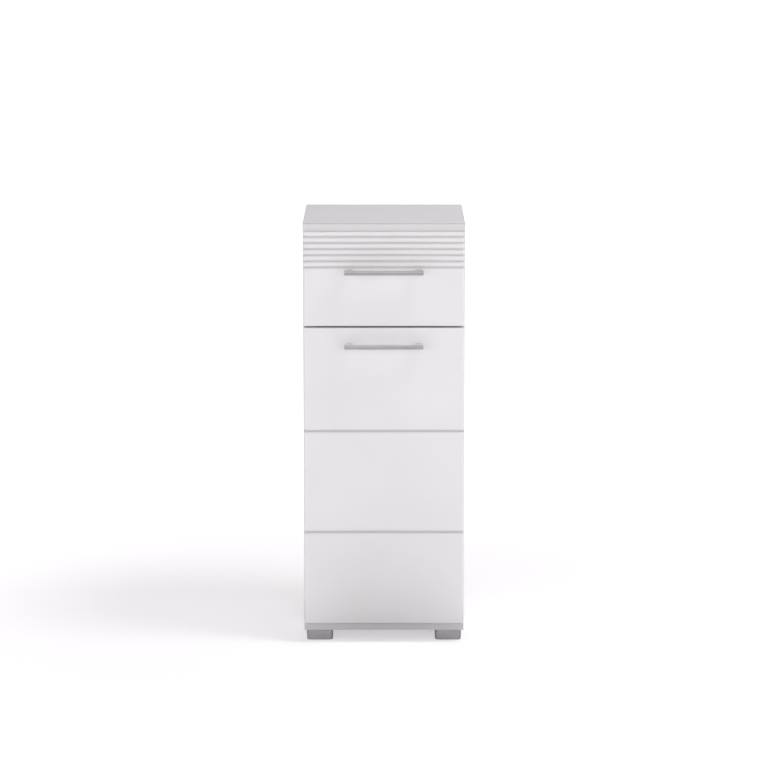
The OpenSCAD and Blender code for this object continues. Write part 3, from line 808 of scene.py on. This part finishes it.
# the floor's glow as the camera sees it, painted light: brighter under the cabinet than round it
FLOOR_SEEN = (0.54, 0.42, 0.68)               # under the cabinet, round it, far away
FLOOR_FAR_FRONT, FLOOR_FAR_BACK, FLOOR_SIDE = 1.65, 0.27, 0.15
SKY_HORIZON_FRONT, SKY_HORIZON_BACK, SKY_HIGH, SKY_ZENITH = 3.60, 0.92, 0.46, 0.42
GREY_WALL, SIDE_WALL, BETWEEN, BEYOND = 0.64, 0.30, (0.28, 0.52), (0.66, 0.82)


def floor():
    """A wide pale floor, lit to white in the picture; only its far part throws light back at the cabinet."""
    me = bpy.data.meshes.new("floor")
    s = 70.0
    me.from_pydata([(-s, -s, 0), (s, -s, 0), (s, s, 0), (-s, s, 0)], [], [(0, 1, 2, 3)])
    obj = bpy.data.objects.new("floor", me)
    bpy.context.scene.collection.objects.link(obj)
    mat, nt, bsdf = new_material("floor_pale")
    co = nt.nodes.new("ShaderNodeTexCoord")
    flat = nt.nodes.new("ShaderNodeVectorMath")
    flat.operation = "LENGTH"
    nt.links.new(co.outputs["Object"], flat.inputs[0])
    sep = nt.nodes.new("ShaderNodeSeparateXYZ")
    nt.links.new(co.outputs["Object"], sep.inputs["Vector"])
    dist = flat.outputs["Value"]
    far = smooth_range(nt, dist, 0.19, 0.42, 0.0, 1.0)
    front = smooth_range(nt, sep.outputs["Y"], -1.0, 1.0, FLOOR_FAR_FRONT, FLOOR_FAR_BACK)
    # between the soft boxes and beyond them the far floor is grey too
    aside = math_node(nt, "DIVIDE", math_node(nt, "ABSOLUTE", sep.outputs["X"]), dist)
    boxes = math_node(nt, "MULTIPLY", smooth_range(nt, aside, BETWEEN[0], BETWEEN[1], 0.0, 1.0),
                      smooth_range(nt, aside, BEYOND[0], BEYOND[1], 1.0, FLOOR_SIDE))
    rear = smooth_range(nt, sep.outputs["Y"], -0.2, 0.6, 0.0, 1.0)
    spread = math_node(nt, "MAXIMUM", boxes, rear)
    thrown = math_node(nt, "MULTIPLY", math_node(nt, "MULTIPLY", far, front), spread)
    path = nt.nodes.new("ShaderNodeLightPath")
    seen = path.outputs["Is Camera Ray"]
    unseen = math_node(nt, "SUBTRACT", 1.0, seen)
    # painted light: the floor seen by the camera glows, more under the cabinet than round it, and most far away
    shown = math_node(nt, "ADD", smooth_range(nt, dist, 0.14, 0.21, FLOOR_SEEN[0], FLOOR_SEEN[1]),
                      smooth_range(nt, dist, 0.45, 1.7, 0.0, FLOOR_SEEN[2] - FLOOR_SEEN[1]))
    glow = math_node(nt, "ADD", math_node(nt, "MULTIPLY", seen, shown), math_node(nt, "MULTIPLY", unseen, thrown))
    nt.links.new(glow, bsdf.inputs["Emission Strength"])
    bsdf.inputs["Emission Color"].default_value = (*TINT, 1.0)
    # close to the cabinet the floor throws back little light
    dim = smooth_range(nt, spread, 0.0, 1.0, 0.82, 1.0)
    pale = math_node(nt, "MAXIMUM", seen, math_node(nt, "MULTIPLY", dim, smooth_range(nt, dist, 0.19, 0.42, 0.45, 1.0)))
    grey = nt.nodes.new("ShaderNodeCombineColor")
    for i in range(3):
        nt.links.new(math_node(nt, "MULTIPLY", pale, 0.85), grey.inputs[i])
    nt.links.new(grey.outputs["Color"], bsdf.inputs["Base Color"])
    bsdf.inputs["Roughness"].default_value = 0.9
    bsdf.inputs["Specular IOR Level"].default_value = 0.0
    me.materials.append(mat)


floor()


def studio():
    """Soft studio light: a bright belt near the horizon, strongest in front, and a calm ceiling."""
    world = bpy.data.worlds.new("studio")
    bpy.context.scene.world = world
    world.use_nodes = True
    wt = world.node_tree
    wt.nodes.clear()
    w_out = wt.nodes.new("ShaderNodeOutputWorld")
    w_bg = wt.nodes.new("ShaderNodeBackground")
    w_co = wt.nodes.new("ShaderNodeTexCoord")
    w_sep = wt.nodes.new("ShaderNodeSeparateXYZ")
    wt.links.new(w_co.outputs["Generated"], w_sep.inputs["Vector"])
    belt = smooth_range(wt, w_sep.outputs["Z"], 0.20, 0.42, 1.0, 0.0)
    sky = smooth_range(wt, w_sep.outputs["Z"], 0.30, 1.0, SKY_HIGH, SKY_ZENITH)
    # in front the belt is two soft boxes; the wall between them and beyond them is grey
    aside = math_node(wt, "ABSOLUTE", w_sep.outputs["X"])
    boxes = smooth_range(wt, aside, BETWEEN[0], BETWEEN[1], GREY_WALL - SIDE_WALL, SKY_HORIZON_FRONT - SIDE_WALL)
    boxes = math_node(wt, "MULTIPLY", boxes, smooth_range(wt, aside, BEYOND[0], BEYOND[1], 1.0, 0.0))
    boxes = math_node(wt, "ADD", boxes, SIDE_WALL)
    rear = smooth_range(wt, w_sep.outputs["Y"], -0.3, 0.5, 0.0, 1.0)
    fore = math_node(wt, "SUBTRACT", 1.0, rear)
    horizon = math_node(wt, "ADD", math_node(wt, "MULTIPLY", boxes, fore), math_node(wt, "MULTIPLY", rear, SKY_HORIZON_BACK))
    lit = math_node(wt, "ADD", sky, math_node(wt, "MULTIPLY", belt, math_node(wt, "SUBTRACT", horizon, SKY_HIGH)))
    path = wt.nodes.new("ShaderNodeLightPath")
    seen = path.outputs["Is Camera Ray"]
    unseen = math_node(wt, "SUBTRACT", 1.0, seen)
    strength = math_node(wt, "ADD", math_node(wt, "MULTIPLY", seen, 1.08), math_node(wt, "MULTIPLY", unseen, lit))
    w_bg.inputs["Color"].default_value = (*TINT, 1.0)
    wt.links.new(strength, w_bg.inputs["Strength"])
    wt.links.new(w_bg.outputs["Background"], w_out.inputs["Surface"])


studio()


def area(name, place_at, aim, size, power):
    data = bpy.data.lights.new(name, "AREA")
    data.shape = "DISK"
    data.size = size
    data.energy = power
    data.color = TINT
    obj = bpy.data.objects.new(name, data)
    bpy.context.scene.collection.objects.link(obj)
    obj.location = Vector(place_at)
    obj.rotation_mode = "QUATERNION"
    obj.rotation_quaternion = (Vector(aim) - Vector(place_at)).to_track_quat("-Z", "Y")


area("key", (1.42, -0.62, 3.06), (0, 0, 0.4), 1.1, 29.0)

cam_data = bpy.data.cameras.new("camera")
cam_data.lens = 150.13
cam_data.sensor_width = 36.0
cam_data.clip_start, cam_data.clip_end = 0.1, 200.0
cam = bpy.data.objects.new("camera", cam_data)
bpy.context.scene.collection.objects.link(cam)
cam.location = (0.0001, -6.0, 1.516)
cam.rotation_euler = (math.radians(90.0 - 9.885), 0.0, 0.0)
bpy.context.scene.camera = cam

bpy.context.scene.view_settings.view_transform = "Standard"
bpy.context.scene.view_settings.look = "None"
bpy.context.scene.view_settings.exposure = 0.0
bpy.context.scene.view_settings.gamma = 1.0
